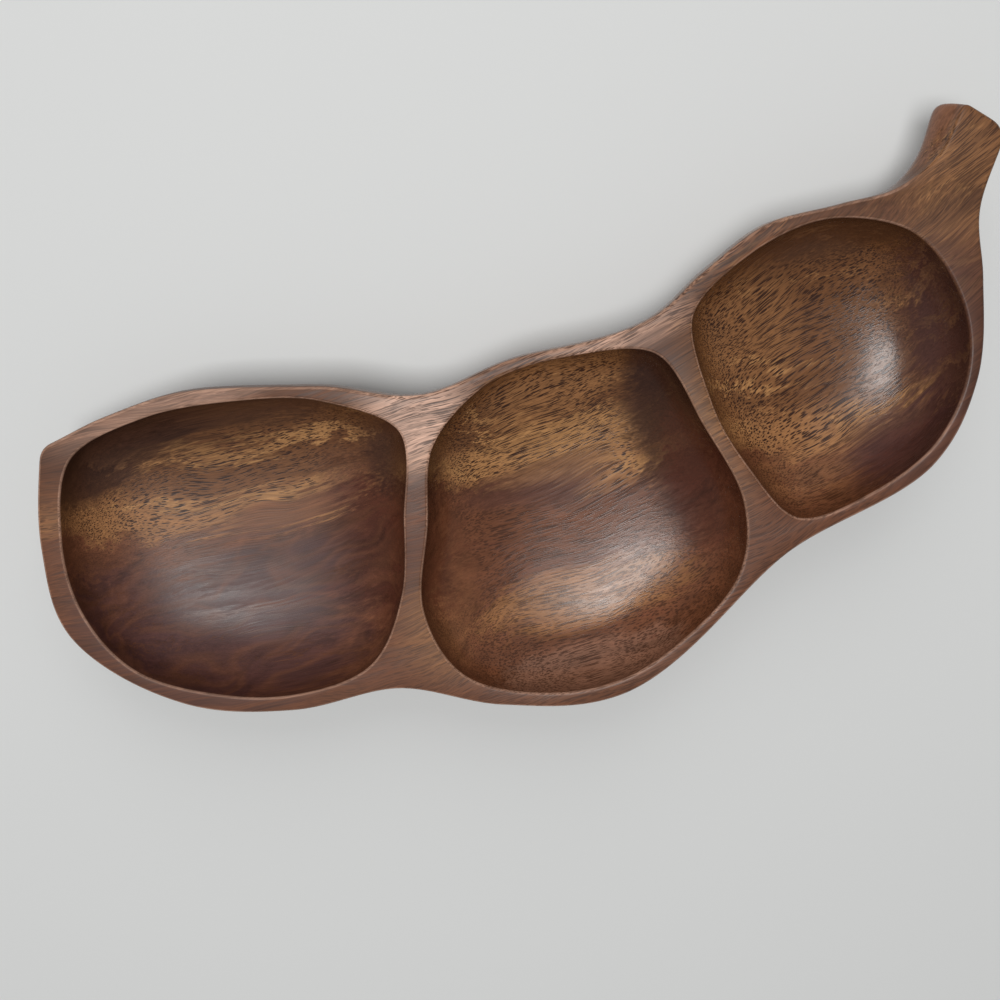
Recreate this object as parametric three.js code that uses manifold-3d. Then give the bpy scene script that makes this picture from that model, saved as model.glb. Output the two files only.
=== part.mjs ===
// A divided serving tray in the shape of a three-seeded pea pod with a short stem to hold it by.
// It is carved from one board: bent pod outside, three bowls cut from the top, two dividers left
// standing between them. Millimetres, +Z up, rim level, resting on three flats under the lobes.

import * as THREE from "three";
import { mergeVertices } from "three/addons/utils/BufferGeometryUtils.js";
import Module from "manifold-3d";

// Main sizes
const POD_LENGTH = 564; // tip to stem's end, along the middle line
const POD_WIDTH = 186; // across the middle lobe
const SPINE_RADIUS = 304; // bend of the middle line
const HEIGHT = 48; // table to rim

// Carving sizes
const FLOOR = 9; // wood left under the bowls
const FOOT_CUT = 4; // planed off the bottom of each lobe to make a flat to stand on
const NECK_DEPTH = 42; // rim down to the underside, between two lobes
const STEM_THICKNESS = 25;
const STEM_FLARE = 7.5; // how far the stem's upper flank stands out below its top
const WALL = 9; // wood left between two bowls, about its narrowest
const EDGE_RADIUS = 2; // outer edge of the rim
const MOUTH_RADIUS = 1.5; // edge of each bowl
const TIP_ROUNDING = 6; // corner at the pod's tip
const STEM_ROUNDING = 8; // lower corner of the stem's end
const STEM_CORNER = 4.5; // upper corner of the stem's end
const BELLY_POWER = 2.6; // superellipse of the outside, 2 is round and more is squarer
const BOWL_POWER = 2.5; // superellipse of the bowls

// The pod is drawn straight and then bent. A station is [share of the length, from the place where
// the bend is lowest, share of the half width], and the upper edge is on the hollow side of the bend.
const TIP = [-0.495, 0.194];
const NECK_1 = { upper: [-0.106, 0.935], lower: [-0.161, -0.71] };
const NECK_2 = { upper: [0.179, 0.812], lower: [0.154, -0.667] };
const STEM_WAIST = [0.436, -0.172];
const STEM_END = { upper: [0.505, 0.14], lower: [0.496, -0.118] };
const FLARE_RUN = [0.4, 0.495]; // where the stem's flank starts to stand out and where it is full
const UPPER_EDGE = [
  TIP,
  [-0.454, 0.516],
  [-0.385, 0.817],
  [-0.23, 1], // crest of the tip lobe
  NECK_1.upper,
  [0.014, 0.99], // crest of the middle lobe
  NECK_2.upper,
  [0.254, 0.806], // crest of the stem lobe
  [0.333, 0.715],
  [0.387, 0.462],
  [0.422, 0.256],
  [0.459, 0.15],
  STEM_END.upper,
];
const LOWER_EDGE = [
  TIP,
  [-0.457, -0.323],
  [-0.411, -0.742],
  [-0.321, -0.925], // crest of the tip lobe
  [-0.241, -0.86],
  NECK_1.lower,
  [-0.085, -0.882],
  [0, -1], // crest of the middle lobe
  NECK_2.lower,
  [0.273, -0.806], // crest of the stem lobe
  [0.333, -0.672],
  [0.394, -0.371],
  STEM_WAIST,
  STEM_END.lower,
];

// Bowls, tip to stem: the station that each is carved from, and the stations of a line that runs
// round it half a wall outside its edge
const BOWLS = [
  {
    middle: [-0.293, 0.043],
    around: [
      [-0.474, 0.25],
      [-0.421, 0.649],
      [-0.33, 0.895],
      [-0.225, 0.971],
      [-0.127, 0.774],
      [-0.134, 0.27],
      [-0.145, -0.174],
      [-0.178, -0.603],
      [-0.237, -0.803],
      [-0.296, -0.871],
      [-0.361, -0.846],
      [-0.412, -0.619],
      [-0.453, -0.22],
    ],
  },
  {
    middle: [0.014, 0.011],
    around: [
      [-0.129, 0.233],
      [-0.11, 0.683],
      [-0.029, 0.955],
      [0.085, 0.918],
      [0.168, 0.669],
      [0.165, 0.179],
      [0.155, -0.296],
      [0.119, -0.661],
      [0.058, -0.864],
      [0.001, -0.958],
      [-0.057, -0.9],
      [-0.114, -0.699],
      [-0.142, -0.245],
    ],
  },
  {
    middle: [0.28, 0],
    around: [
      [0.206, 0.715],
      [0.3, 0.738],
      [0.375, 0.516],
      [0.405, 0.107],
      [0.384, -0.31],
      [0.341, -0.623],
      [0.286, -0.771],
      [0.229, -0.732],
      [0.171, -0.571],
      [0.16, -0.142],
      [0.167, 0.282],
    ],
  },
];

// The underside's middle line as [place along the pod, depth below the rim]: level along each lobe,
// rising to each neck and to the stem over the runs given here
const NECK_RUN = 58;
const STEM_RUN = 70;
const TIP_INSET = 79; // from the tip to where the line starts
const STEM_INSET = 14; // from where it stops to the stem's end
const KEEL_START = TIP[0] * POD_LENGTH + TIP_INSET;
const KEEL_END = STEM_END.lower[0] * POD_LENGTH - STEM_INSET;
const WAIST = STEM_WAIST[0] * POD_LENGTH;
const LOBE_DEPTH = HEIGHT + FOOT_CUT;
const KEEL = [
  [KEEL_START, LOBE_DEPTH],
  ...[NECK_1, NECK_2].flatMap(({ upper, lower }) => {
    const neck = ((upper[0] + lower[0]) / 2) * POD_LENGTH;
    return [
      [neck - NECK_RUN, LOBE_DEPTH],
      [neck, NECK_DEPTH],
      [neck + NECK_RUN, LOBE_DEPTH],
    ];
  }),
  [WAIST - STEM_RUN, LOBE_DEPTH],
  [WAIST, STEM_THICKNESS],
];

// How finely the surfaces are divided
const STATIONS = 68;
const TIP_STEPS = 26;
const STEM_STEPS = 10;
const BELLY_STEPS = 9;
const EDGE_STEPS = 2;
const MOUTH_STEPS = 60;
const BOWL_STEPS = 10;
const EDGE_SAMPLES = 320;
const CORNER_STEPS = 6;
const END_STEPS = 40;

const wasm = await Module();
wasm.setup();

// A station in millimetres along and across the straight pod
const placed = ([along, across]) => [along * POD_LENGTH, (across * POD_WIDTH) / 2];

// A place on the straight pod to the flat plan, by wrapping the middle line round its bend
function bend([along, across]) {
  const turn = along / SPINE_RADIUS;
  const reach = SPINE_RADIUS - across;
  return new THREE.Vector2(reach * Math.sin(turn), SPINE_RADIUS - reach * Math.cos(turn));
}

// A smooth edge through its stations, as closely spaced places on the straight pod
function edgeThrough(stations) {
  const points = stations.map((station) => new THREE.Vector3(...placed(station), 0));
  const curve = new THREE.CatmullRomCurve3(points, false, "centripetal");
  return curve.getPoints(EDGE_SAMPLES).map((p) => [p.x, p.y]);
}

// How far across an edge lies at one place along the pod
function acrossAt(edge, along) {
  const next = edge.findIndex((p) => p[0] >= along);
  const [a, b] = [edge[next - 1], edge[next]];
  return a[1] + ((b[1] - a[1]) * (along - a[0])) / (b[0] - a[0]);
}

// Swaps the corner where two runs of points meet for a curve that starts a little way before it
function roundedJoin(before, after, rounding) {
  const corner = after[0];
  const clear = (p) => Math.hypot(p[0] - corner[0], p[1] - corner[1]) > rounding;
  const first = before.filter(clear);
  const last = after.filter(clear);
  const ends = [first.at(-1), corner, last[0]].map((p) => new THREE.Vector2(...p));
  const curve = new THREE.QuadraticBezierCurve(...ends);
  const bow = curve.getPoints(CORNER_STEPS).slice(1, -1);
  return [...first, ...bow.map((p) => [p.x, p.y]), ...last];
}

// The same run of points again, in even steps
function evenly(points, steps) {
  const path = new THREE.CurvePath();
  const corners = points.map((p) => new THREE.Vector2(...p));
  for (let i = 1; i < corners.length; i += 1) {
    path.add(new THREE.LineCurve(corners[i - 1], corners[i]));
  }
  return path.getSpacedPoints(steps).map((p) => [p.x, p.y]);
}

// A run of points on a straight line, both ends included
function straight(from, to, steps) {
  const at = (i) => [0, 1].map((k) => from[k] + ((to[k] - from[k]) * i) / steps);
  return Array.from({ length: steps + 1 }, (_, i) => at(i));
}

const upperEdge = edgeThrough(UPPER_EDGE);
const lowerEdge = edgeThrough(LOWER_EDGE);

// Depth of the underside's middle line below the rim, at one place along the pod
function keelDepth(along) {
  const next = KEEL.findIndex((k) => k[0] >= along);
  if (next < 0) {
    return KEEL.at(-1)[1];
  }
  const [from, to] = [KEEL[Math.max(next - 1, 0)], KEEL[next]];
  const ease = THREE.MathUtils.smoothstep(along, from[0], to[0]);
  return from[1] + (to[1] - from[1]) * ease;
}

// The outline once round, each point with the place on the middle line that it is carved toward:
// out along the upper edge, round the stem's end, back along the lower edge and round the tip
function podOutline() {
  const [start, end] = [KEEL_START, KEEL_END];
  const alongs = straight([start, 0], [end, 0], STATIONS).map((p) => p[0]);
  const upper = alongs.map((s) => [s, acrossAt(upperEdge, s)]);
  const lower = alongs.map((s) => [s, acrossAt(lowerEdge, s)]);

  const past = (edge, first) => [first, ...edge.filter((p) => p[0] > end)];
  const endFace = straight(placed(STEM_END.upper), placed(STEM_END.lower), END_STEPS);
  const lowerCorner = roundedJoin(endFace, past(lowerEdge, lower.at(-1)).reverse(), STEM_ROUNDING);
  const stem = roundedJoin(past(upperEdge, upper.at(-1)), lowerCorner, STEM_CORNER);

  const before = (edge, last) => [...edge.filter((p) => p[0] < start), last];
  const toTip = before(lowerEdge, lower[0]).reverse();
  const tip = roundedJoin(toTip, before(upperEdge, upper[0]), TIP_ROUNDING);

  return [
    ...upper.map((point) => ({ point, keel: point[0] })),
    ...evenly(stem, STEM_STEPS).slice(1, -1).map((point) => ({ point, keel: end })),
    ...lower.reverse().map((point) => ({ point, keel: point[0] })),
    ...evenly(tip, TIP_STEPS).slice(1, -1).map((point) => ({ point, keel: start })),
  ];
}

// Each point of a closed plan moved inward, square to the plan there. The plan runs clockwise.
function inset(plan, distance) {
  return plan.map((p, i) => {
    const run = plan[(i + 1) % plan.length].clone().sub(plan.at(i - 1));
    const inward = new THREE.Vector2(run.y, -run.x).normalize();
    return p.clone().addScaledVector(inward, distance);
  });
}

// A closed solid from rings of points, each ring joined to the next; a ring may close to a line
function skin(rings) {
  const size = rings[0].length;
  const geometry = new THREE.BufferGeometry().setFromPoints(rings.flat());
  const index = [];
  for (let r = 0; r + 1 < rings.length; r += 1) {
    for (let i = 0; i < size; i += 1) {
      const [a, b] = [r * size + i, r * size + ((i + 1) % size)];
      index.push(a, b, b + size, a, b + size, a + size);
    }
  }
  geometry.setIndex(index);
  return toManifold(geometry);
}

function toManifold(source) {
  const bare = source.clone();
  bare.deleteAttribute("normal");
  bare.deleteAttribute("uv");
  const merged = mergeVertices(bare, 1e-4);
  const index = [...merged.index.array];
  const kept = [];
  for (let i = 0; i < index.length; i += 3) {
    const [a, b, c] = index.slice(i, i + 3);
    if (a !== b && b !== c && c !== a) {
      kept.push(a, b, c);
    }
  }
  const vertProperties = new Float32Array(merged.attributes.position.array);
  const triVerts = new Uint32Array(kept);
  return new wasm.Manifold(new wasm.Mesh({ numProp: 3, vertProperties, triVerts }));
}

// Sideways and downward share of a superellipse, from its rim at 0 to its lowest point at 1
function superellipse(step, power) {
  const angle = (step * Math.PI) / 2;
  const side = step < 1 ? Math.cos(angle) ** (2 / power) : 0;
  return { side, down: Math.sin(angle) ** (2 / power) };
}

// Places round a quarter circle of the given radius, as [distance in from its side, height]
function quarterRound(radius, steps) {
  return Array.from({ length: steps + 1 }, (_, i) => {
    const angle = ((i / steps) * Math.PI) / 2;
    return [radius * (1 - Math.sin(angle)), HEIGHT - radius * (1 - Math.cos(angle))];
  });
}

const at = (plan, z) => plan.map((p) => new THREE.Vector3(p.x, p.y, z));

// How the flank stands out below the rim's edge, across the stem: only on the stem's upper side
function stemFlare([along, across]) {
  const [, upper] = placed(STEM_END.upper);
  const reached = THREE.MathUtils.smoothstep(along / POD_LENGTH, ...FLARE_RUN);
  const distance = STEM_FLARE * reached * THREE.MathUtils.smoothstep(across, 0, upper);
  return bend([along, across + distance]).sub(bend([along, across]));
}

// The outside: level top, rounded edge, then a belly that runs under to the middle line
function podBody() {
  const outline = podOutline();
  const plan = outline.map(({ point }) => bend(point));
  const middle = outline.map(({ keel }) => bend([keel, 0]));
  const depths = outline.map(({ keel }) => keelDepth(keel));
  const flares = outline.map(({ point }) => stemFlare(point));
  const rings = [at(middle, HEIGHT)];
  for (const [inward, z] of quarterRound(EDGE_RADIUS, EDGE_STEPS)) {
    rings.push(at(inset(plan, inward), z));
  }
  for (let step = 1; step <= BELLY_STEPS; step += 1) {
    const { side, down } = superellipse(step / BELLY_STEPS, BELLY_POWER);
    const swell = Math.sin(Math.PI * down);
    const ring = plan.map((p, i) => {
      const place = middle[i].clone().lerp(p, side);
      place.addScaledVector(flares[i], swell);
      const z = HEIGHT - EDGE_RADIUS - (depths[i] - EDGE_RADIUS) * down;
      return new THREE.Vector3(place.x, place.y, z);
    });
    rings.push(ring);
  }
  return skin(rings);
}

// The edge of a bowl: a smooth closed line through its stations, moved in by half a wall
function bowlEdge(stations) {
  const points = stations.map((station) => new THREE.Vector3(...placed(station), 0));
  const curve = new THREE.CatmullRomCurve3(points, true, "centripetal");
  const line = curve.getSpacedPoints(MOUTH_STEPS).slice(1);
  return inset(line.map((p) => bend([p.x, p.y])), WALL / 2);
}

// The rounder outline that a bowl settles into toward its floor, as shares of the reach to its edge:
// reaches averaged over a quarter of the way round
function settled(reaches) {
  const count = reaches.length;
  const span = Math.round(count / 8);
  return reaches.map((reach, i) => {
    let total = 0;
    for (let k = i - span; k <= i + span; k += 1) {
      total += reaches[(k + count) % count];
    }
    return total / (2 * span + 1) / reach;
  });
}

// What is cut away for one bowl, from just above the rim down to its floor
function bowlCutter({ middle, around }) {
  const centre = bend(placed(middle));
  const edge = bowlEdge(around);
  const floor = settled(edge.map((p) => p.distanceTo(centre)));
  const above = HEIGHT + MOUTH_RADIUS;
  const rings = [at(edge.map(() => centre), above), at(inset(edge, -MOUTH_RADIUS), above)];
  for (const [outward, z] of quarterRound(MOUTH_RADIUS, EDGE_STEPS)) {
    rings.push(at(inset(edge, -outward), z));
  }
  const wallTop = HEIGHT - MOUTH_RADIUS;
  for (let step = 1; step <= BOWL_STEPS; step += 1) {
    const { side, down } = superellipse(step / BOWL_STEPS, BOWL_POWER);
    const share = (i) => side * THREE.MathUtils.lerp(floor[i], 1, side);
    const ring = edge.map((p, i) => centre.clone().lerp(p, share(i)));
    rings.push(at(ring, wallTop - (wallTop - FLOOR) * down));
  }
  return skin(rings);
}

// Everything below the table, planed away to leave the flats
function planing() {
  const span = 2 * POD_LENGTH;
  const box = new THREE.BoxGeometry(span, span, HEIGHT);
  box.translate(0, 0, -HEIGHT / 2);
  return toManifold(box);
}

function carve() {
  let solid = podBody().subtract(planing());
  for (const bowl of BOWLS) {
    solid = solid.subtract(bowlCutter(bowl));
  }
  const { vertProperties, triVerts } = solid.getMesh();
  const geometry = new THREE.BufferGeometry();
  geometry.setAttribute("position", new THREE.BufferAttribute(vertProperties, 3));
  geometry.setIndex(new THREE.BufferAttribute(triVerts, 1));
  geometry.computeBoundingBox();
  const centre = geometry.boundingBox.getCenter(new THREE.Vector3());
  geometry.translate(-centre.x, -centre.y, 0);
  geometry.computeVertexNormals();
  return geometry;
}

const wood = new THREE.MeshStandardMaterial({ color: 0x6b422c, roughness: 0.45, metalness: 0 });
const tray = new THREE.Mesh(carve(), wood);
tray.name = "carved_tray";

const part = new THREE.Group();
part.name = "divided_serving_tray";
part.add(tray);

export default part;
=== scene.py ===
"""A divided serving tray carved from one board in the shape of a bent pea pod.

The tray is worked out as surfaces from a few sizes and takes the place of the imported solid.
Its wood is one solid texture, so the figure runs through rim, dividers and bowls as in a board.
"""
from math import pi, radians, tan
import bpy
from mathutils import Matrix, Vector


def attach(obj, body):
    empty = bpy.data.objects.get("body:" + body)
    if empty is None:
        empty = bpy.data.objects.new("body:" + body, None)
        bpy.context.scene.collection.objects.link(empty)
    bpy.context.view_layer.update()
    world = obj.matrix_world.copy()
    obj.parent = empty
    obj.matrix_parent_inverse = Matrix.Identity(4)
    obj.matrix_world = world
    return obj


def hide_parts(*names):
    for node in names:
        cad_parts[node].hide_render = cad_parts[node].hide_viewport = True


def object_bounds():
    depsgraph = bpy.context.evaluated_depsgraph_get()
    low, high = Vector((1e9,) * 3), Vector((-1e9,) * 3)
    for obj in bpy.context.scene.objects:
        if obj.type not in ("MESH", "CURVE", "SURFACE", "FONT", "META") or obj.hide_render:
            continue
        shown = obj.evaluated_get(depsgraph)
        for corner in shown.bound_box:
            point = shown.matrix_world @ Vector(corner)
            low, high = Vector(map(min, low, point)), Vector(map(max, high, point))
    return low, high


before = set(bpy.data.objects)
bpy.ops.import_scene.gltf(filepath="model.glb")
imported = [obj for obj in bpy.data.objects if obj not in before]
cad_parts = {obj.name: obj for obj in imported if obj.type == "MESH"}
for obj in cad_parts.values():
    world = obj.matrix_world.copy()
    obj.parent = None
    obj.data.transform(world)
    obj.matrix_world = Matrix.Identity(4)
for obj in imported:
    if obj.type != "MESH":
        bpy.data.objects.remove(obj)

from types import SimpleNamespace

import bmesh
import bpy
import numpy as np
from bpy.props import FloatProperty, FloatVectorProperty, IntProperty, PointerProperty
from mathutils import Matrix, Vector
from mathutils.geometry import tessellate_polygon

bl_info = {
    "name": "Carved Pod Tray",
    "version": (1, 0, 0),
    "blender": (4, 5, 0),
    "location": "View3D > Sidebar > Pod Tray",
    "description": "Carves a divided pod-shaped serving tray and lights it on a plain stage",
    "category": "Object",
}

NODE = "carved_tray"
CAD_BOX = [[float(value) for value in corner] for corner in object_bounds()]
MM = 0.001

# The pod is drawn straight and then bent. A station is (share of the length, from the place where
# the bend is lowest, share of the half width); the upper edge is on the hollow side of the bend.
TIP = (-0.495, 0.194)
NECK_1 = ((-0.106, 0.935), (-0.161, -0.71))
NECK_2 = ((0.179, 0.812), (0.154, -0.667))
STEM_WAIST = (0.436, -0.172)
STEM_END = ((0.505, 0.14), (0.496, -0.118))
UPPER_EDGE = (
    TIP, (-0.454, 0.516), (-0.385, 0.817), (-0.23, 1.0), NECK_1[0], (0.014, 0.99), NECK_2[0],
    (0.254, 0.806), (0.333, 0.715), (0.387, 0.462), (0.422, 0.256), (0.459, 0.15), STEM_END[0],
)
LOWER_EDGE = (
    TIP, (-0.457, -0.323), (-0.411, -0.742), (-0.321, -0.925), (-0.241, -0.86), NECK_1[1],
    (-0.085, -0.882), (0.0, -1.0), NECK_2[1], (0.273, -0.806), (0.333, -0.672), (0.394, -0.371),
    STEM_WAIST, STEM_END[1],
)
# Shares of the length between which the stem's upper flank comes to stand out
FLARE_RUN = (0.4, 0.495)

# Bowls, tip to stem: the station that each is carved from, and the stations of a line that runs
# round it half a wall outside its edge
BOWLS = (
    ((-0.293, 0.043), (
        (-0.474, 0.25), (-0.421, 0.649), (-0.33, 0.895), (-0.225, 0.971), (-0.127, 0.774),
        (-0.134, 0.27), (-0.145, -0.174), (-0.178, -0.603), (-0.237, -0.803), (-0.296, -0.871),
        (-0.361, -0.846), (-0.412, -0.619), (-0.453, -0.22))),
    ((0.014, 0.011), (
        (-0.129, 0.233), (-0.11, 0.683), (-0.029, 0.955), (0.085, 0.918), (0.168, 0.669),
        (0.165, 0.179), (0.155, -0.296), (0.119, -0.661), (0.058, -0.864), (0.001, -0.958),
        (-0.057, -0.9), (-0.114, -0.699), (-0.142, -0.245))),
    ((0.28, 0.0), (
        (0.206, 0.715), (0.3, 0.738), (0.375, 0.516), (0.405, 0.107), (0.384, -0.31),
        (0.341, -0.623), (0.286, -0.771), (0.229, -0.732), (0.171, -0.571), (0.16, -0.142),
        (0.167, 0.282))),
)
# The carver's waver in a bowl: waves round it, their turn from mouth to floor and where they start
WAVES = ((5, 7, 0), (3, -11, 1))

# Points of the outline, as shares of the fineness: each long side, the stem's end and the tip
SIDE_SHARE, STEM_SHARE, TIP_SHARE = 1.3, 0.2, 0.5
# Points across the stem's end face before its corners are rounded
FACE_POINTS = 60
# Rings round a rounded edge, down the outside and down a bowl
EDGE_RINGS, BELLY_RINGS, BOWL_RINGS = 6, 36, 40
# How softly the belly goes over to its flats, in millimetres
FLAT_SOFTNESS = 0.6


def length(name, description, default, **settings):
    """A length property, its default given in metres."""
    return FloatProperty(
        name=name, description=description, default=default, min=0.0, unit="LENGTH", **settings)


def millimetres(name, description, default):
    """A length property, its default given in millimetres."""
    return length(name, description, default * MM, precision=5)


class PodTraySizes(bpy.types.PropertyGroup):
    """Sizes of the tray."""

    pod_length: millimetres("Pod length", "Tip to stem's end, along the middle line", 564.0)
    pod_width: millimetres("Pod width", "Across the middle lobe", 186.0)
    spine_radius: millimetres("Bend", "Radius that the middle line is bent to", 304.0)
    height: millimetres("Height", "Table to rim", 48.0)
    floor: millimetres("Floor", "Wood left under the bowls", 9.0)
    foot_cut: millimetres("Foot cut", "Planed off under each lobe to make a flat", 4.0)
    neck_depth: millimetres("Neck depth", "Rim to underside between two lobes", 42.0)
    neck_run: millimetres("Neck run", "Length over which the underside rises to a neck", 58.0)
    stem_run: millimetres("Stem run", "Length over which the underside rises to the stem", 70.0)
    tip_inset: millimetres("Tip inset", "Tip to the start of the underside's middle line", 79.0)
    stem_inset: millimetres("Stem inset", "End of that line to the stem's end", 14.0)
    stem_thickness: millimetres("Stem thickness", "Rim to underside at the stem", 25.0)
    stem_flare: millimetres("Stem flare", "How far the stem's upper flank stands out", 7.5)
    wall: millimetres("Wall", "Wood left between two bowls, about its narrowest", 9.0)
    edge_radius: millimetres("Outer edge", "Rounding of the rim's outer edge", 2.0)
    mouth_radius: millimetres("Mouth edge", "Rounding of each bowl's edge", 1.5)
    tip_rounding: millimetres("Tip rounding", "Rounding of the pod's tip", 6.0)
    stem_rounding: millimetres("Stem rounding", "Rounding of the stem's lower corner", 8.0)
    stem_corner: millimetres("Stem corner", "Rounding of the stem's upper corner", 4.5)
    waver: millimetres("Waver", "How far the carver's hand strays from the true curve", 0.35)
    belly_power: FloatProperty(
        name="Belly", description="Superellipse of the outside, 2 is round", default=2.6, min=1.5)
    bowl_power: FloatProperty(
        name="Bowl", description="Superellipse of the bowls, 2 is round", default=2.5, min=1.5)
    fineness: IntProperty(
        name="Fineness", description="Points round each bowl", default=288, min=48, max=600)


def in_millimetres(sizes):
    """The sizes as plain numbers, lengths in millimetres to the nearest micrometre."""
    plain = {}
    for name in PodTraySizes.__annotations__:
        plain[name] = getattr(sizes, name)
        if sizes.bl_rna.properties[name].unit == "LENGTH":
            plain[name] = round(plain[name] / MM, 3)
    return SimpleNamespace(**plain)


# Curves

def placed(stations, size):
    """Stations scaled to millimetres along and across the straight pod."""
    return np.array(stations, float) * (size.pod_length, size.pod_width / 2)


def bend(points, size):
    """Wraps the straight pod round a circle: along turns into angle, across shortens the radius."""
    turn = points[..., 0] / size.spine_radius
    reach = size.spine_radius - points[..., 1]
    return np.stack([reach * np.sin(turn), size.spine_radius - reach * np.cos(turn)], -1)


def smooth_through(points, closed=False, steps=24):
    """Centripetal Catmull-Rom curve: cubics whose end slopes come from the neighbouring points,
    each span weighted by the square root of its length."""
    if closed:
        ends = np.vstack([points[-1:], points, points[:2]])
    else:
        ends = np.vstack([2 * points[0] - points[1], points, 2 * points[-1] - points[-2]])
    before, start, stop, after = ends[:-3], ends[1:-2], ends[2:-1], ends[3:]
    weight = np.linalg.norm(np.diff(ends, axis=0), axis=1)[:, None] ** 0.5
    past, own, coming = weight[:-2], weight[1:-1], weight[2:]
    run = (stop - start) / own
    slope_in = ((start - before) / past - (stop - before) / (past + own) + run) * own
    slope_out = (run - (after - start) / (own + coming) + (after - stop) / coming) * own
    t = np.linspace(0, 1, steps, endpoint=False)[None, :, None]
    spans = (start, stop, slope_in, slope_out)
    start, stop, slope_in, slope_out = (each[:, None] for each in spans)
    square = 3 * (stop - start) - 2 * slope_in - slope_out
    cube = 2 * (start - stop) + slope_in + slope_out
    curve = start + t * (slope_in + t * (square + t * cube))
    return np.vstack([curve.reshape(-1, 2), ends[-2:-1]])


def rounded_join(before, after, rounding, steps=12):
    """Swaps the corner where two runs meet for a quadratic curve aimed at the corner."""
    corner = after[0]
    first = before[np.linalg.norm(before - corner, axis=1) > rounding]
    last = after[np.linalg.norm(after - corner, axis=1) > rounding]
    t = np.linspace(0, 1, steps)[1:-1, None]
    bow = (1 - t) ** 2 * first[-1] + 2 * t * (1 - t) * corner + t * t * last[0]
    return np.vstack([first, bow, last])


def evenly(points, count):
    """The same run of points again in equal steps of length."""
    steps = np.linalg.norm(np.diff(points, axis=0), axis=1)
    travelled = np.concatenate([[0], np.cumsum(steps)])
    even = np.linspace(0, travelled[-1], count)
    return np.stack([np.interp(even, travelled, points[:, axis]) for axis in (0, 1)], -1)


def inset(plan, distance):
    """Moves each point of a closed clockwise plan inward, square to the plan there."""
    run = np.roll(plan, -1, 0) - np.roll(plan, 1, 0)
    inward = np.stack([run[:, 1], -run[:, 0]], -1)
    return plan + distance * inward / np.linalg.norm(inward, axis=1)[:, None]


def smoothstep(value, low, high):
    """Eases from 0 at low to 1 at high."""
    t = np.clip((value - low) / (high - low), 0, 1)
    return t * t * (3 - 2 * t)


def superellipse(step, power):
    """Sideways and downward share from rim (0) to lowest point (1): cos and sin to 2 / power."""
    angle = np.asarray(step) * pi / 2
    side = np.where(step < 1, np.abs(np.cos(angle)) ** (2 / power), 0.0)
    return side, np.sin(angle) ** (2 / power)


def quarter_round(radius):
    """Quarter circle from the level top to the upright side: (distance in, depth) pairs."""
    angle = np.linspace(0, pi / 2, EDGE_RINGS + 1)
    return np.stack([radius * (1 - np.sin(angle)), radius * (1 - np.cos(angle))], -1)


def rings_from(plans, heights):
    """Stacks plans (rings, points, 2) with heights that broadcast to (rings, points)."""
    plans = np.asarray(plans)
    heights = np.broadcast_to(heights, plans.shape[:2])
    return np.concatenate([plans, heights[..., None]], -1)


# The outside of the pod

def keel_ends(size):
    """Where the underside's middle line starts, in from the tip, and stops, in from the stem."""
    tip, stem = placed((TIP, STEM_END[1]), size)[:, 0]
    return tip + size.tip_inset, stem - size.stem_inset


def keel_depth(along, size):
    """Depth of the underside's middle line: level along each lobe, easing up to the necks and the
    stem, each rise a smoothstep."""
    lobe = size.height + size.foot_cut
    stops = [(keel_ends(size)[0], lobe)]
    for sides in (NECK_1, NECK_2):
        neck = placed(sides, size)[:, 0].mean()
        stops.append((neck - size.neck_run, lobe))
        stops.append((neck, size.neck_depth))
        stops.append((neck + size.neck_run, lobe))
    waist = placed(STEM_WAIST, size)[0]
    stops.append((waist - size.stem_run, lobe))
    stops.append((waist, size.stem_thickness))
    place, depth = np.array(stops).T
    after = np.clip(np.searchsorted(place, along), 1, len(place) - 1)
    share = smoothstep(along, place[after - 1], place[after])
    return depth[after - 1] + (depth[after] - depth[after - 1]) * share


def pod_outline(size, upper_edge, lower_edge):
    """The outline once round, clockwise from the tip lobe's upper edge, and for each point the
    place along the middle line that it is carved toward."""
    start, end = keel_ends(size)
    along = np.linspace(start, end, int(SIDE_SHARE * size.fineness))
    upper, lower = (
        np.stack([along, np.interp(along, *edge.T)], -1) for edge in (upper_edge, lower_edge))
    corners = placed(STEM_END, size)
    face = corners[0] + np.linspace(0, 1, FACE_POINTS)[:, None] * (corners[1] - corners[0])
    upper_end = np.vstack([upper[-1:], upper_edge[upper_edge[:, 0] > end]])
    lower_end = np.vstack([lower[-1:], lower_edge[lower_edge[:, 0] > end]])[::-1]
    face = rounded_join(face, lower_end, size.stem_rounding)
    stem = rounded_join(upper_end, face, size.stem_corner)
    stem = evenly(stem, int(STEM_SHARE * size.fineness))[1:-1]
    lower_tip = np.vstack([lower_edge[lower_edge[:, 0] < start], lower[:1]])[::-1]
    upper_tip = np.vstack([upper_edge[upper_edge[:, 0] < start], upper[:1]])
    tip = rounded_join(lower_tip, upper_tip, size.tip_rounding)
    tip = evenly(tip, int(TIP_SHARE * size.fineness))[1:-1]
    points = np.vstack([upper, stem, lower[::-1], tip])
    keel = np.concatenate([
        along, np.full(len(stem), end), along[::-1], np.full(len(tip), start)])
    return points, keel


def stem_flare(points, size):
    """How the flank stands out below the rim's edge, across the stem: only on its upper side."""
    upper = placed(STEM_END[0], size)[1]
    reached = smoothstep(points[:, 0] / size.pod_length, *FLARE_RUN)
    distance = size.stem_flare * reached * smoothstep(points[:, 1], 0, upper)
    return bend(points + distance[:, None] * (0, 1), size) - bend(points, size)


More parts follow.
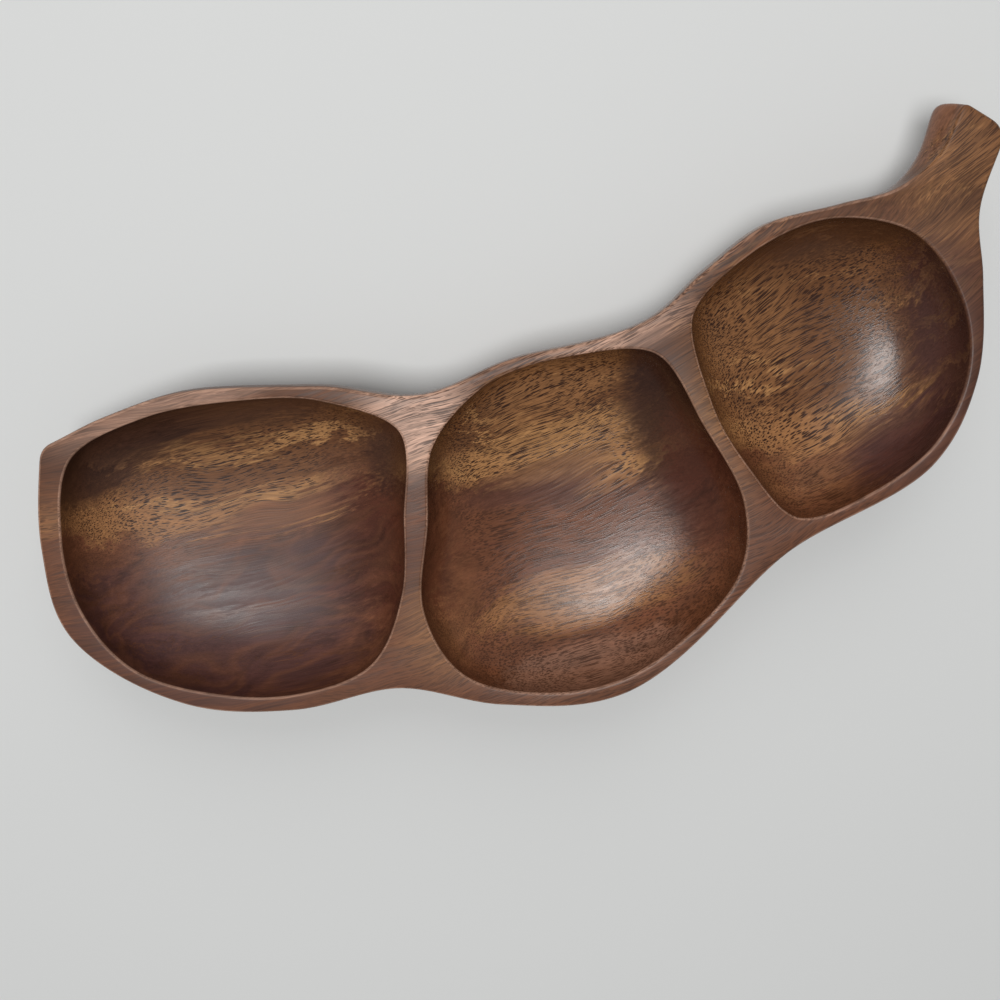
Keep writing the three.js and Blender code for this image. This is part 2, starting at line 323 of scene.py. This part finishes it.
def outside_rings(size):
    """Rings of the outside: a quarter round at the rim's edge, then superellipses from the outline
    under to the middle line, swelling at the stem by half a sine wave of the depth, with the bottom
    of each lobe eased onto the table."""
    edges = [smooth_through(placed(edge, size)) for edge in (UPPER_EDGE, LOWER_EDGE)]
    points, keel = pod_outline(size, *edges)
    plan = bend(points, size)
    middle = bend(np.stack([keel, 0 * keel], -1), size)
    edge = quarter_round(size.edge_radius)
    rim_plans = [inset(plan, inward) for inward, _ in edge]
    rim = rings_from(rim_plans, size.height - edge[:, 1:])
    side, down = superellipse(np.linspace(0, 1, BELLY_RINGS + 1)[1:], size.belly_power)
    plans = middle + side[:, None, None] * (plan - middle)
    plans = plans + np.sin(pi * down)[:, None, None] * stem_flare(points, size)
    depth = (keel_depth(keel, size) - size.edge_radius) * down[:, None]
    belly = rings_from(plans, size.height - size.edge_radius - depth)
    rings = np.concatenate([rim, belly])
    rings[..., 2] = (rings[..., 2] + np.sqrt(rings[..., 2] ** 2 + FLAT_SOFTNESS ** 2)) / 2
    return rings


# The bowls

def bowl_edge(stations, size):
    """Edge of a bowl: a smooth closed line through its stations, moved in by half a wall."""
    line = smooth_through(placed(stations, size), closed=True)
    return inset(bend(evenly(line, size.fineness + 1)[1:], size), size.wall / 2)


def settled(reaches):
    """The rounder outline that a bowl settles into: reaches averaged over a quarter turn."""
    eighth = len(reaches) // 8
    rolled = [np.roll(reaches, shift) for shift in range(-eighth, eighth + 1)]
    return np.mean(rolled, axis=0)


def bowl_rings(size, station, around):
    """Rings of one bowl: a quarter round at the mouth, then superellipses whose outline goes over
    from the mouth's to the settled one, with a slow waver left by the carver's hand, a sum of sine
    waves round the bowl."""
    centre = bend(placed(station, size), size)
    plan = bowl_edge(around, size)
    spokes = plan - centre
    reach = np.linalg.norm(spokes, axis=1)
    floor = settled(reach) / reach
    edge = quarter_round(size.mouth_radius)
    rim = rings_from([inset(plan, -outward) for outward, _ in edge], size.height - edge[:, 1:])
    steps = np.linspace(0, 1, BOWL_RINGS + 1)[1:, None]
    side, down = superellipse(steps, size.bowl_power)
    share = side * (floor + (1 - floor) * side)
    angle = np.linspace(0, 2 * pi, len(plan), endpoint=False)
    stray = sum(np.sin(count * angle + turn * steps + first) for count, turn, first in WAVES)
    share += size.waver * stray * np.sin(pi * steps) / reach
    top = size.height - size.mouth_radius
    wall = rings_from(centre + spokes * share[..., None], top - (top - size.floor) * down)
    return np.concatenate([rim, wall])


# Putting the surfaces together

def ring_faces(rings, start):
    """Quads between each ring and the next, closed round, for points numbered from start."""
    count, around = rings.shape[:2]
    number = start + np.arange(count * around).reshape(count, around)
    onward = np.roll(number, -1, 1)
    quads = np.stack([number[:-1], onward[:-1], onward[1:], number[1:]], -1)
    return quads.reshape(-1, 4)


def tray_mesh(size):
    """One closed mesh: outside rings, bowl rings, and the level rim filled between their first
    rings. Rings that close to a point or a line are welded."""
    shells = [outside_rings(size)] + [bowl_rings(size, *bowl) for bowl in BOWLS]
    starts = np.cumsum([0] + [shell.shape[0] * shell.shape[1] for shell in shells])
    points = np.concatenate([shell.reshape(-1, 3) for shell in shells])
    quads = [ring_faces(shell, start) for shell, start in zip(shells, starts)]
    loops = [shell[0] for shell in shells]
    fill = np.array(tessellate_polygon([[Vector(point) for point in loop] for loop in loops]))
    loop_points = np.concatenate([
        start + np.arange(len(loop)) for start, loop in zip(starts, loops)])
    faces = [face for block in quads for face in block.tolist()] + loop_points[fill].tolist()
    mesh = bpy.data.meshes.new("pod_tray")
    mesh.from_pydata(fitted(points * MM).tolist(), [], faces)
    weld(mesh)
    mesh.shade_smooth()
    return mesh


def fitted(points):
    """Moves and scales points, by well under a millimetre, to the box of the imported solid."""
    low, high = points.min(0), points.max(0)
    box_low, box_high = np.array(CAD_BOX)
    return box_low + (points - low) * (box_high - box_low) / (high - low)


def weld(mesh, distance=1e-7):
    """Merges points that coincide and turns every face outward."""
    work = bmesh.new()
    work.from_mesh(mesh)
    bmesh.ops.remove_doubles(work, verts=work.verts, dist=distance)
    bmesh.ops.recalc_face_normals(work, faces=work.faces)
    work.to_mesh(mesh)
    work.free()


# Shader maths

class Field:
    """A shader socket to write sums with: each operation adds its Math node."""

    def __init__(self, tree, socket=None):
        self.tree = tree
        self.socket = socket

    def node(self, kind, settings=None, sockets=None, output=0):
        """Adds a node. Its settings are set first, then its sockets get their values or links."""
        made = self.tree.nodes.new("ShaderNode" + kind)
        for name, value in (settings or {}).items():
            if name == "stops":
                set_stops(made.color_ramp, value)
            else:
                setattr(made, name, value)
        for name, value in (sockets or {}).items():
            if isinstance(value, Field):
                value.feed(made.inputs[name])
            else:
                made.inputs[name].default_value = value
        return Field(self.tree, made.outputs[output])

    def feed(self, socket):
        """Links this value to a socket of another node."""
        self.tree.links.new(self.socket, socket)

    def output(self, name):
        """Another output of the same node."""
        return Field(self.tree, self.socket.node.outputs[name])

    def math(self, operation, *values):
        """A Math node on numbers."""
        return self.node("Math", {"operation": operation}, dict(enumerate(values)))

    def __add__(self, other):
        return self.math("ADD", self, other)

    def __sub__(self, other):
        return self.math("SUBTRACT", self, other)

    def __rsub__(self, other):
        return self.math("SUBTRACT", other, self)

    def __mul__(self, other):
        return self.math("MULTIPLY", self, other)

    __radd__ = __add__
    __rmul__ = __mul__

    def rise(self, low, high):
        """Smoothstep from 0 at low to 1 at high; low may be the larger."""
        limits = {"Value": self, "From Min": low, "From Max": high}
        return self.node("MapRange", {"interpolation_type": "SMOOTHSTEP"}, limits)

    def vector(self, operation, *values, output=0):
        """A Vector Math node on places."""
        return self.node("VectorMath", {"operation": operation}, dict(enumerate(values)), output)

    def stretched(self, *steps):
        """A place measured in the given steps along x, y and z."""
        return self.vector("MULTIPLY", self, [1 / step for step in steps])

    def shifted(self, shift, share):
        """A place moved by share times the given shift."""
        return self.vector("MULTIPLY_ADD", share, shift, self)

    def reach(self, centre, radii):
        """A place's distance from a centre, measured in the given half sizes."""
        away = self.vector("SUBTRACT", self, centre).stretched(*radii)
        return away.vector("LENGTH", away, output="Value")

    def parts(self):
        """The three numbers of a place or a colour."""
        split = self.node("SeparateXYZ", {}, {0: self})
        return split, split.output("Y"), split.output("Z")

    def joined(self, x, y, z):
        """A place from three numbers."""
        return self.node("CombineXYZ", {}, {0: x, 1: y, 2: z})

    def noise(self, detail, roughness):
        """Noise from about -1 to 1, one unit of the place to a lump."""
        sockets = {"Vector": self, "Scale": 1.0, "Detail": detail, "Roughness": roughness}
        return (self.node("TexNoise", {"noise_dimensions": "3D"}, sockets) - 0.5) * 2.5

    def toward(self, colour, share):
        """This colour mixed with another by share."""
        return self.node("Mix", {"data_type": "RGBA"}, {0: share, 6: self, 7: colour}, 2)

    def times(self, amount):
        """This colour made lighter or darker."""
        return self.node("VectorMath", {"operation": "SCALE"}, {0: self, "Scale": amount})


def set_stops(ramp, stops):
    """Gives a colour ramp its stops, as (position, colour) pairs in order."""
    while len(ramp.elements) < len(stops):
        ramp.elements.new(1.0)
    for element, (position, colour) in zip(ramp.elements, stops):
        element.position = position
        element.color = colour


def srgb(red, green, blue):
    """A colour as it shows on screen, 0 to 255, in the linear values that shaders take."""
    shown = np.array([red, green, blue]) / 255
    linear = np.where(shown <= 0.04045, shown / 12.92, ((shown + 0.055) / 1.055) ** 2.4)
    return (*linear.tolist(), 1.0)


def colour(name, description, *shown):
    """A colour property, its default given as it shows on screen."""
    return FloatVectorProperty(
        name=name, description=description, subtype="COLOR", size=4, min=0.0, max=1.0,
        default=srgb(*shown))


def factor(name, description, default):
    """A property from 0 to 1."""
    return FloatProperty(
        name=name, description=description, default=default, min=0.0, max=1.0, subtype="FACTOR")


class PodTrayWood(bpy.types.PropertyGroup):
    """Colours and finish of the wood. The darkest colour also paints shade on the bowls' upper
    walls, and the palest rim colour paints sheen and edge highlights on the rim.
    """

    gold: colour("Gold", "Pale sapwood along the edge of the heartwood", 150, 104, 65)
    straw: colour("Straw", "Palest lines in the sapwood", 178, 130, 82)
    honey: colour("Honey", "Sapwood farther from the edge", 110, 71, 42)
    umber: colour("Umber", "Heartwood next to the sapwood", 108, 66, 44)
    plum: colour("Plum", "Purplish heartwood", 70, 43, 41)
    russet: colour("Russet", "Reddish heartwood", 80, 40, 27)
    # Dark wood, and painted shade where it lies on the bowls' upper walls by the rim
    walnut_and_shade: colour("Walnut", "Darkest wood, on the walls", 56, 32, 23)
    rim: colour("Rim", "Rubbed wood along the rim", 97, 59, 37)
    # Wear on the rim, and painted sheen on its top and painted highlight along its rounded edges
    chalk_and_sheen: colour("Chalk", "Rim where it is rubbed palest", 204, 164, 142)
    pore: colour("Pore", "Open pores", 54, 30, 19)
    roughness: factor("Roughness", "Satin of the finish", 0.27)
    gloss: factor("Gloss", "Strength of the finish's reflection", 0.4)


# The figure of the wood. Places and lengths are in millimetres, along, across and up the tray.

# Colours across the board from the heartwood's edge toward the hollow side, the direction that is
# square to them, how far noise strays them, and where heartwood has become sapwood
LAYERS = (
    (-40, "umber"), (-5, "umber"), (2, "gold"), (10, "gold"), (25, "honey"), (120, "honey"),
)
LAYER_SLOPE = (0.2, 0.97, -0.6)
LAYER_STRAY = 8
SAPWOOD = (-8, 6)
# The grain's slope in plan at the middle of the board, and its gain per millimetre along it
GRAIN_SLOPE, GRAIN_CURVE = 0.09, 0.00115
# Places along the tray between which the wood turns duller toward the tip
TIP_RUN = (-40, -110)
# Depths below the rim between which the top is rubbed and, in places, painted with sheen
RIM_TOP_DEPTH = (2.4, 0.8)
# Depths between which the pale edge, wear and a painted highlight, starts from below, and stops
# toward the level top, and places along the tray between which it comes in from the stem
EDGE_START, EDGE_STOP, EDGE_FADE = (1.5, 0.9), (0.02, 0.25), (222, 196)

# Each noise: size of its lumps, detail and roughness
LUMPS = {
    "wander": ((170, 60, 45), 1.0, 0.5),
    "swirl": ((60, 36, 36), 1.0, 0.5),
    "curl": ((50, 34, 34), 1.0, 0.5),
    "drift": ((90, 12, 12), 3.0, 0.6),
    "streak": ((80, 2.4, 2.4), 3.0, 0.65),
    "fibre": ((30, 0.6, 0.6), 1.0, 0.5),
    "vein": ((150, 6, 40), 2.0, 0.6),
    "line": ((140, 3, 40), 4.0, 0.7),
    "ridge": ((64, 15, 17), 1.2, 0.45),
    "smoke": ((70, 8, 10), 3.0, 0.6),
    "scuff": ((11, 5, 5), 3.0, 0.6),
}
# How far noise shifts things: wander and swirl the board, drift the patches, and swirl and curl
# the swirled veins and smoke
WANDER_SHIFT, SWIRL_SHIFT, PATCH_SHIFT = (0, 10, 8), (0, 6, 0), (0, 8, 6)
SMOKE_DRAG, SMOKE_CURL = (26, 0, 0), (0, 22, 16)

# Where the figure changes, and where the darkest colour paints shade on the bowls' upper walls:
# colour, share, centre and half sizes
PATCHES = (
    ("gold", 0.85, (12, -66, 12), (76, 18, 18)),
    ("chalk_and_sheen", 0.16, (0, -98, 34), (80, 15, 22)),
    ("gold", 0.8, (24, 52, 34), (42, 20, 28)),
    ("gold", 0.55, (128, 36, 24), (32, 36, 32)),
    ("straw", 0.6, (8, 24, 20), (50, 16, 24)),
    ("straw", 0.5, (36, 14, 14), (34, 15, 20)),
    ("gold", 0.3, (-70, -20, 24), (22, 60, 30)),
    ("plum", 0.45, (-2, 0, 10), (46, 11, 14)),
    ("walnut_and_shade", 0.9, (74, 8, 30), (24, 56, 42)),
    # Dark wood and painted shade: the middle bowl's upper corner by the rim
    ("walnut_and_shade", 0.8, (78, 44, 36), (20, 22, 28)),
    ("russet", 0.6, (82, -24, 24), (22, 40, 34)),
    ("umber", 0.8, (-124, 35, 14), (50, 9, 14)),
    ("plum", 0.9, (-158, -4, 10), (80, 28, 32)),
    ("plum", 0.9, (-190, -34, 28), (96, 36, 36)),
    ("plum", 0.85, (-226, 10, 34), (34, 36, 34)),
    ("russet", 0.95, (-84, -2, 22), (38, 48, 40)),
    ("walnut_and_shade", 0.4, (-100, -8, 26), (24, 36, 30)),
    ("russet", 0.35, (-92, 46, 28), (26, 18, 24)),
    ("umber", 0.4, (-58, -18, 26), (16, 40, 30)),
    # Dark wood and painted shade: the tip bowl's upper wall by the rim
    ("walnut_and_shade", 0.66, (-130, 100, 36), (130, 27, 28)),
    ("walnut_and_shade", 0.75, (-204, 92, 34), (64, 20, 34)),
    ("walnut_and_shade", 0.75, (-60, 42, 26), (23, 34, 28)),
    ("gold", 0.3, (134, -34, 26), (36, 18, 20)),
    ("plum", 0.85, (222, 5, 34), (30, 70, 32)),
    ("plum", 0.85, (190, -40, 30), (40, 30, 30)),
    # Dark wood and painted shade: the stem bowl's upper wall by the rim
    ("walnut_and_shade", 0.55, (176, 78, 36), (52, 22, 26)),
    ("umber", 0.9, (236, 112, 28), (40, 40, 17)),
    ("chalk_and_sheen", 0.1, (236, 112, 28), (40, 40, 17)),
)
# A patch's edge, in half sizes from its centre, and how far streaks stray it
PATCH_EDGE, PATCH_STRAY = (1.2, 0.6), 0.38
# Where the rim is rubbed to another colour, its pale places partly painted sheen of the finish:
# colour, share, centre and half sizes
RIM_WEAR_AND_SHEEN = (
    # Painted sheen of the finish, with wear: the palest places on the rim's top
    ("chalk_and_sheen", 1.0, (-43, 60, 48), (36, 34, 20)),
    ("chalk_and_sheen", 0.45, (-150, 107, 48), (80, 14, 20)),
    ("chalk_and_sheen", 0.7, (60, 66, 48), (50, 14, 20)),
    ("straw", 0.2, (92, 4, 48), (20, 60, 20)),
    ("straw", 0.26, (234, 78, 48), (36, 44, 20)),
    ("walnut_and_shade", 0.35, (226, -4, 48), (26, 56, 20)),
    ("walnut_and_shade", 0.5, (230, 68, 48), (24, 7, 20)),
    ("straw", 0.3, (-62, -46, 48), (40, 40, 20)),
)
# A rubbed or sheen-painted place's edge, in half sizes, and the streaks between which it takes the
# colour
RIM_WEAR_AND_SHEEN_EDGE, RIM_WEAR_AND_SHEEN_STREAKS = (1.1, 0.3), (-1.8, 0.9)

# Lines: the values of their noise between which they fade in, and their share; the russet ones
# lose some of it toward the tip
STRAW_LINE, STRAW_SHARE = (0.1, 0.5), 0.8
RUSSET_LINE, RUSSET_SHARE, RUSSET_LESS = (0.1, 0.6), 0.75, 0.3
UMBER_LINE, UMBER_SHARE = (-0.05, -0.5), 0.7
RIDGE_LINE, RIDGE_SHARE = (0.3, 0.0), 0.4
SCUFF_LINE, SCUFF_SHARE = (0.62, 1.0), 0.4
# Shares of the rubbed rim and of its pale edge, worn and painted highlight, each with what streaks
# or drift add
RIM_SHARE, RIM_STREAKS = 0.5, 0.3
EDGE_SHARE, EDGE_DRIFT = 0.32, 0.2

# Pores: length, width and the share of them that is lost toward the tip
PORES = ((24.0, 1.05, 0.8), (14.0, 0.86, 0.0), (7.0, 0.68, 0.0))
# A pore's least spread in its cell, what chance adds, and how soft its edge is
PORE_LEAST, PORE_CHANCE, PORE_EDGE = 0.1225, 0.2975, (0.1, -0.08)
# How open the pores are in heartwood, less toward the tip and more in sapwood, and less on the rim
OPEN_HEART, OPEN_TIP, OPEN_SAP, OPEN_RIM = 0.72, 0.25, 0.28, 0.2
# How far a patch of each dense colour closes them
CLOSED = {"umber": 0.9, "plum": 0.8, "russet": 0.6, "walnut_and_shade": 0.85}

# Sums of fields: each field's share, and what other fields add to that share
SHADING = (
    ("line", 0.34, {"tip": 0.2}),
    ("fibre", 0.2, {"pale": 0.16, "top": 0.1}),
    ("smoke", 0.46, {}),
    ("streak", 0.14, {"top": 0.26}),
    ("drift", 0.0, {"top": 0.22}),
)
ROUGHENING = (
    ("tip", 0.15, {}),
    ("streak", 0.1, {}),
    ("line", 0.09, {"tip": 0.07}),
    ("top", 0.17, {}),
)
RELIEF = (("fibre", 0.3, {}), ("streak", 0.5, {}), ("pores", -0.7, {}))
RELIEF_STRENGTH, RELIEF_DEPTH = 0.18, 0.0002


def lumps(place, name):
    """The named noise at a place."""
    step, detail, roughness = LUMPS[name]
    return place.stretched(*step).noise(detail, roughness)


class Board:
    """The board that the tray is carved from: the fields that its figure and finish share, and its
    colour so far.

    Slow noise bends the board, and its grain also curves in plan as a parabola. Layers of colour
    lie square to the layers' slope, strayed by noise along the grain. The field pale is 1 in
    sapwood, heart is 1 in heartwood below the rim, tip is 1 toward the tip, top is 1 on the rim and
    edge is 1 along the rim's rounded edges."""

    def __init__(self, tree, wood, size):
        start = Field(tree)
        self.wood = wood
        self.here = start.node("TexCoord", output="Object").stretched(MM, MM, MM)
        along, _, up = self.here.parts()
        below = size.height - up
        self.top = below.rise(*RIM_TOP_DEPTH)
        self.edge = below.rise(*EDGE_START) * below.rise(*EDGE_STOP) * along.rise(*EDGE_FADE)
        self.tip = along.rise(*TIP_RUN)

        swirl = lumps(self.here, "swirl")
        bent = self.here.shifted(WANDER_SHIFT, lumps(self.here, "wander"))
        bent = bent.shifted(SWIRL_SHIFT, swirl)
        rising = along * (GRAIN_SLOPE + GRAIN_CURVE / 2 * along)
        self.grain = bent.shifted((0, -1, 0), rising)
        self.drift = lumps(self.grain, "drift")
        self.streak = lumps(self.grain, "streak")
        self.fibre = lumps(self.grain, "fibre")

        level = bent.vector("DOT_PRODUCT", bent, LAYER_SLOPE, output="Value")
        across = level - LAYER_SLOPE[2] * size.floor + LAYER_STRAY * (self.drift + self.streak)
        layered = start.joined(along, across, up)
        self.vein = lumps(layered, "vein")
        self.line = lumps(layered, "line")
        self.pale = across.rise(*SAPWOOD)
        self.heart = (1 - self.pale) * (1 - self.top)
        self.patchwork = bent.shifted(PATCH_SHIFT, self.drift)

        dragged = self.here.shifted(SMOKE_DRAG, swirl)
        dragged = dragged.shifted(SMOKE_CURL, lumps(self.here, "curl"))
        self.ridge = lumps(dragged, "ridge")
        self.smoke = lumps(dragged, "smoke") * self.heart
        self.opened = OPEN_HEART - OPEN_TIP * self.tip * (1 - self.pale) + OPEN_SAP * self.pale
        self.colours = self.layers(across)

    def layers(self, across):
        """Colours across the board, blended in a line from each to the next."""
        low, high = LAYERS[0][0], LAYERS[-1][0]
        stops = []
        for place, name in LAYERS:
            stops.append(((place - low) / (high - low), self.colour(name)))
        return across.node("ValToRGB", {"stops": stops}, {0: (across - low) * (1 / (high - low))})

    def colour(self, name):
        """A colour of the wood by name."""
        return tuple(getattr(self.wood, name))

    def stain(self, name, share):
        """Mixes a colour of the wood into the colour so far."""
        self.colours = self.colours.toward(self.colour(name), share)

    def total(self, terms):
        """Sum of the named fields, each times its share."""
        result = 0.0
        for name, share, added in terms:
            for other, more in added.items():
                share = share + more * getattr(self, other)
            result = result + share * getattr(self, name)
        return result


def let_in_patches(board):
    """Patches of other colours: ellipsoids whose edges follow the streaks. Dense ones close the
    pores."""
    for name, share, centre, radii in PATCHES:
        reach = board.patchwork.reach(centre, radii) + PATCH_STRAY * board.streak
        inside = reach.rise(*PATCH_EDGE)
        board.stain(name, share * inside)
        if name in CLOSED:
            board.opened = board.opened * (1 - CLOSED[name] * inside)


def draw_lines(board):
    """Straw lines in open sapwood, and in heartwood russet lines where the noise along the layers
    is high and umber ones, toward the tip, where it is low."""
    dark = 1 - board.pale
    board.stain("straw", STRAW_SHARE * board.pale * board.opened * board.vein.rise(*STRAW_LINE))
    russet = RUSSET_SHARE - RUSSET_LESS * board.tip
    board.stain("russet", russet * dark * board.line.rise(*RUSSET_LINE))
    board.stain("umber", UMBER_SHARE * dark * board.tip * board.line.rise(*UMBER_LINE))


def rub_rim_and_paint_sheen(board):
    """Rubs the rim and paints sheen on it: to other colours in the places given, the pale ones
    partly painted sheen, pale along its edges, partly painted highlight, and in scuffs.
    """
    board.stain("rim", board.top * (RIM_SHARE + RIM_STREAKS * board.streak))
    streaks = board.streak.rise(*RIM_WEAR_AND_SHEEN_STREAKS)
    for name, share, centre, radii in RIM_WEAR_AND_SHEEN:
        near = board.here.reach(centre, radii).rise(*RIM_WEAR_AND_SHEEN_EDGE)
        board.stain(name, share * board.top * near * streaks)
    # The pale edge: wear and a painted highlight along the rounded edges
    board.stain("chalk_and_sheen", board.edge * (EDGE_SHARE + EDGE_DRIFT * board.drift))
    scuff = lumps(board.here, "scuff").rise(*SCUFF_LINE)
    board.stain("chalk_and_sheen", SCUFF_SHARE * board.top * scuff)


def swirl_heart(board):
    """Umber veins that swirl in heartwood toward the tip, where a dragged noise is near zero."""
    ridge = board.ridge.math("ABSOLUTE", board.ridge).rise(*RIDGE_LINE)
    board.stain("umber", RIDGE_SHARE * board.heart * board.tip * ridge)


def open_pores(board):
    """Pores of three lengths: cells stretched along the grain, dark at their middles, so dashes on
    the floors and dots where a wall cuts across them. Each cell's chance sets its spread. They stay
    on the board for its relief."""
    pores = None
    for run, width, lost in PORES:
        cell = {"Vector": board.grain.stretched(run, width, width), "Scale": 1.0, "Randomness": 1.0}
        near = board.grain.node("TexVoronoi", {"feature": "F1"}, cell)
        chance = near.output("Color").parts()[0]
        spread = PORE_LEAST + PORE_CHANCE * chance
        dark = (near - spread).rise(*PORE_EDGE) * (1 - lost * board.tip)
        pores = dark if pores is None else pores.math("MAXIMUM", pores, dark)
    board.pores = pores * board.opened
    board.stain("pore", board.pores * (1 - OPEN_RIM * board.top))


def wood_material(wood, size):
    """Solid wood: layers of colour, patches let into them, some painting shade on the bowls' upper
    walls, fine lines, a rubbed rim with painted sheen and edge highlights, swirled veins, light and
    dark along the grain, and open pores, under a satin finish that shows fibres, streaks and pores
    as a slight relief."""
    material = bpy.data.materials.new("carved_wood")
    material.use_nodes = True
    shader = material.node_tree.nodes["Principled BSDF"]
    board = Board(material.node_tree, wood, size)
    let_in_patches(board)
    draw_lines(board)
    rub_rim_and_paint_sheen(board)
    swirl_heart(board)
    board.colours = board.colours.times(1 + board.total(SHADING))
    open_pores(board)
    board.colours.feed(shader.inputs["Base Color"])
    rough = wood.roughness + board.total(ROUGHENING)
    rough.feed(shader.inputs["Roughness"])
    relief = board.total(RELIEF)
    sockets = {"Strength": RELIEF_STRENGTH, "Distance": RELIEF_DEPTH, "Height": relief}
    relief.node("Bump", {}, sockets).feed(shader.inputs["Normal"])
    shader.inputs["Specular IOR Level"].default_value = wood.gloss
    return material


# The stage

def degrees(name, description, default):
    """An angle property, its default given in degrees."""
    return FloatProperty(
        name=name, description=description, default=radians(default), subtype="ANGLE")


def watts(name, description, default):
    """A lamp's power property, its default given in watts."""
    return FloatProperty(
        name=name, description=description, default=default, min=0.0, unit="POWER")


def metres(name, description, *default):
    """A place property, its default given in metres."""
    return FloatVectorProperty(
        name=name, description=description, size=len(default), default=default, unit="LENGTH")


class PodTrayStage(bpy.types.PropertyGroup):
    """Floor, light and camera."""

    floor_colour: colour("Floor", "Pale floor", 212, 213, 212)
    floor_roughness: factor("Floor roughness", "Dullness of the floor", 0.7)
    floor_side: length("Floor side", "Side of the square floor", 6.0)
    key_power: watts("Key", "Power of the overhead panel", 56.0)
    key_size: length("Key size", "Side of the overhead panel", 1.1)
    key_place: metres("Key place", "Middle of the overhead panel", -0.38, 0.15, 2.97)
    fill_power: watts("Fill", "Power of the panel past the far edge", 8.0)
    fill_size: length("Fill size", "Side of the far panel", 1.2)
    fill_place: metres("Fill place", "Middle of the far panel", 0.45, 1.22, 1.0)
    sky_strength: FloatProperty(
        name="Sky", description="Even light from all round", default=0.22, min=0.0)
    view_distance: length("Distance", "Camera to the rim's plane", 0.4868)
    view_angle: degrees("View angle", "Camera's field of view", 54.0)
    view_tilt: degrees("Tilt", "Camera's lean from straight down", 15.0)
    view_roll: degrees("Roll", "Tray's turn in the picture", 20.0)
    aim: metres("Aim", "Place on the rim's plane at the picture's middle", -0.0185, 0.0084)


def lay_floor(scene):
    """A wide level floor, one quad, in a plain pale colour."""
    stage = scene.pod_tray_stage
    half = stage.floor_side / 2
    mesh = bpy.data.meshes.new("floor")
    corners = [(-half, -half, 0), (half, -half, 0), (half, half, 0), (-half, half, 0)]
    mesh.from_pydata(corners, [], [(0, 1, 2, 3)])
    material = bpy.data.materials.new("floor")
    material.use_nodes = True
    shader = material.node_tree.nodes["Principled BSDF"]
    shader.inputs["Base Color"].default_value = stage.floor_colour
    shader.inputs["Roughness"].default_value = stage.floor_roughness
    mesh.materials.append(material)
    floor = bpy.data.objects.new("floor", mesh)
    scene.collection.objects.link(floor)


def hang_lights(scene):
    """A soft panel overhead, a broader one past the far edge and an even pale surround."""
    stage = scene.pod_tray_stage
    hang_panel(scene, "key", stage.key_place, stage.key_size, stage.key_power)
    fill = hang_panel(scene, "fill", stage.fill_place, stage.fill_size, stage.fill_power)
    fill.visible_glossy = False
    world = bpy.data.worlds.new("surround")
    world.use_nodes = True
    sky = world.node_tree.nodes["Background"]
    sky.inputs["Color"].default_value = (1.0, 1.0, 1.0, 1.0)
    sky.inputs["Strength"].default_value = stage.sky_strength
    scene.world = world


def hang_panel(scene, name, middle, side, energy):
    """A square panel of light that faces the tray."""
    panel = bpy.data.lights.new(name, "AREA")
    panel.energy = energy
    panel.size = side
    lamp = bpy.data.objects.new(name, panel)
    lamp.location = middle
    lamp.rotation_euler = (-lamp.location).to_track_quat("-Z", "Y").to_euler()
    scene.collection.objects.link(lamp)
    return lamp


def place_camera(scene):
    """Looks at the aim point from nearly overhead, leaning and rolled as the picture asks."""
    stage = scene.pod_tray_stage
    lens = bpy.data.cameras.new("camera")
    lens.lens = lens.sensor_width / 2 / tan(stage.view_angle / 2)
    lens.clip_start = 10 * MM
    camera = bpy.data.objects.new("camera", lens)
    tilt, roll = stage.view_tilt, stage.view_roll
    turn = Matrix.Rotation(-roll, 4, "Z") @ Matrix.Rotation(-tilt, 4, "X")
    aim = Vector((*stage.aim, scene.pod_tray_sizes.height))
    back = turn @ Vector((0.0, 0.0, stage.view_distance))
    camera.matrix_world = Matrix.Translation(aim + back) @ turn
    scene.collection.objects.link(camera)
    scene.camera = camera


# The add-on

class PODTRAY_OT_carve(bpy.types.Operator):
    """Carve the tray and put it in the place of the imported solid"""

    bl_idname = "podtray.carve"
    bl_label = "Carve Tray"

    def execute(self, context):
        size = in_millimetres(context.scene.pod_tray_sizes)
        wood = context.scene.pod_tray_wood
        tray = bpy.data.objects.new("pod_tray", tray_mesh(size))
        context.scene.collection.objects.link(tray)
        tray.data.materials.append(wood_material(wood, size))
        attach(tray, "root")
        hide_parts(NODE)
        return {"FINISHED"}


class PODTRAY_OT_stage(bpy.types.Operator):
    """Set up the floor, the light and the camera"""

    bl_idname = "podtray.stage"
    bl_label = "Set Stage"

    def execute(self, context):
        scene = context.scene
        scene.view_settings.view_transform = "Standard"
        lay_floor(scene)
        hang_lights(scene)
        place_camera(scene)
        return {"FINISHED"}


class PODTRAY_PT_panel(bpy.types.Panel):
    """Sizes, wood and stage of the tray"""

    bl_idname = "PODTRAY_PT_panel"
    bl_label = "Pod Tray"
    bl_space_type = "VIEW_3D"
    bl_region_type = "UI"
    bl_category = "Pod Tray"

    def draw(self, context):
        layout = self.layout
        for name, group_type in GROUPS.items():
            group = getattr(context.scene, name)
            column = layout.column(align=True)
            for field in group_type.__annotations__:
                column.prop(group, field)
        layout.operator(PODTRAY_OT_carve.bl_idname)
        layout.operator(PODTRAY_OT_stage.bl_idname)


GROUPS = {
    "pod_tray_sizes": PodTraySizes,
    "pod_tray_wood": PodTrayWood,
    "pod_tray_stage": PodTrayStage,
}
CLASSES = (*GROUPS.values(), PODTRAY_OT_carve, PODTRAY_OT_stage, PODTRAY_PT_panel)


def register():
    for cls in CLASSES:
        bpy.utils.register_class(cls)
    for name, group_type in GROUPS.items():
        setattr(bpy.types.Scene, name, PointerProperty(type=group_type))


def unregister():
    for name in GROUPS:
        delattr(bpy.types.Scene, name)
    for cls in reversed(CLASSES):
        bpy.utils.unregister_class(cls)


def main():
    register()
    bpy.ops.podtray.carve()
    bpy.ops.podtray.stage()


if __name__ == "__main__":
    main()
